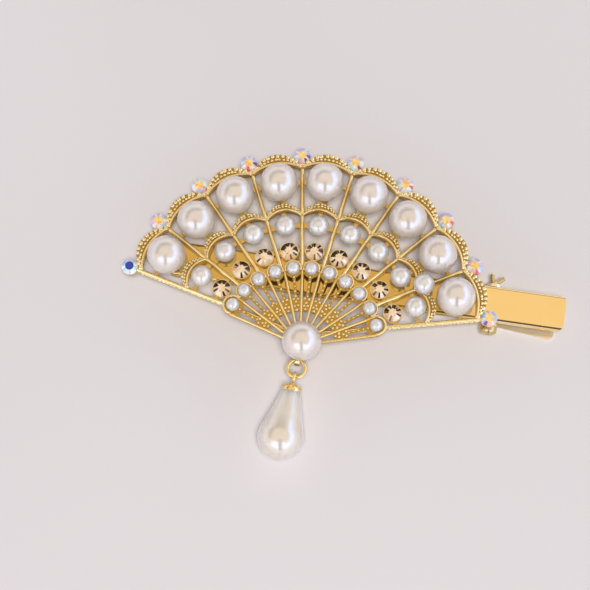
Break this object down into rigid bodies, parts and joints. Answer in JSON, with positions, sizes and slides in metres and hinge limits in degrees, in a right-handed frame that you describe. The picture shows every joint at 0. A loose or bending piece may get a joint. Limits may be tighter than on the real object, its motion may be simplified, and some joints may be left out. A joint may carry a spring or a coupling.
{
  "type": "hair barrette",
  "caption": "Fan-shaped hair barrette: openwork gold frame set with pearls and faceted stones, a swinging pearl drop, on a sprung two-jaw clip.",
  "frame": {"origin": "on the clip's rest face, under the crossing of the clip's middle line and the fan's middle line", "axes": "+X along the clip towards its squeeze tail, +Y from the fan's pivot towards its rim, +Z out of the fan's front"},
  "size_m": [0.0918, 0.066, 0.0137],
  "materials": {
    "frame_gold": "polished",
    "fine_gold": "polished",
    "clip_gold": "mirror polished",
    "ring_gold": "polished",
    "spring_steel": "satin",
    "pearl": "pearlescent",
    "drop_cream": "pearlescent",
    "aurora_stone": "faceted, iridescent",
    "champagne_stone": "faceted"
  },
  "bodies": {
    "lower_jaw": {"clip_lower_jaw": "clip_gold", "clip_pin": "clip_gold", "clip_spring": "spring_steel"},
    "fan": {"clip_upper_jaw": "clip_gold", "fan_frame": "frame_gold", "inner_fan": "fine_gold", "pivot_pearl": "pearl", "large_pearl_1": "pearl", "large_pearl_2": "pearl", "large_pearl_3": "pearl", "large_pearl_4": "pearl", "large_pearl_5": "pearl", "large_pearl_6": "pearl", "large_pearl_7": "pearl", "large_pearl_8": "pearl", "large_pearl_9": "pearl", "medium_pearl_1": "pearl", "medium_pearl_2": "pearl", "medium_pearl_3": "pearl", "medium_pearl_4": "pearl", "medium_pearl_5": "pearl", "medium_pearl_6": "pearl", "medium_pearl_7": "pearl", "medium_pearl_8": "pearl", "medium_pearl_9": "pearl", "medium_pearl_10": "pearl", "small_pearl_1": "pearl", "small_pearl_2": "pearl", "small_pearl_3": "pearl", "small_pearl_4": "pearl", "small_pearl_5": "pearl", "small_pearl_6": "pearl", "small_pearl_7": "pearl", "small_pearl_8": "pearl", "small_pearl_9": "pearl", "small_pearl_10": "pearl", "small_pearl_11": "pearl", "rim_stone_1": "aurora_stone", "rim_stone_2": "aurora_stone", "rim_stone_3": "aurora_stone", "rim_stone_4": "aurora_stone", "rim_stone_5": "aurora_stone", "rim_stone_6": "aurora_stone", "rim_stone_7": "aurora_stone", "rim_stone_8": "aurora_stone", "rim_stone_9": "aurora_stone", "rim_stone_10": "aurora_stone", "champagne_stone_1": "champagne_stone", "champagne_stone_2": "champagne_stone", "champagne_stone_3": "champagne_stone", "champagne_stone_4": "champagne_stone", "champagne_stone_5": "champagne_stone", "champagne_stone_6": "champagne_stone", "champagne_stone_7": "champagne_stone", "champagne_stone_8": "champagne_stone", "champagne_stone_9": "champagne_stone"},
    "ring": {"jump_ring": "ring_gold"},
    "drop": {"drop_cap": "ring_gold", "drop_pearl": "drop_cream"}
  },
  "joints": [
    {"name": "clip_hinge", "type": "hinge", "parent": "lower_jaw", "child": "fan", "pos_m": [0.0377, 0, 0.0027], "axis": [0, 1, 0], "range_deg": [0, 9.5], "stiffness_Nm_per_rad": 0.15, "springref_deg": -28.65, "deforming": ["clip_spring"]},
    {"name": "ring_swing", "type": "hinge", "parent": "fan", "child": "ring", "pos_m": [0, -0.01775, 0.0052], "axis": [-1, 0, 0], "range_deg": [-60, 50]},
    {"name": "drop_swing", "type": "hinge", "parent": "ring", "child": "drop", "pos_m": [0, -0.01955, 0.0052], "axis": [0, 0, 1], "range_deg": [-40, 40]}
  ]
}
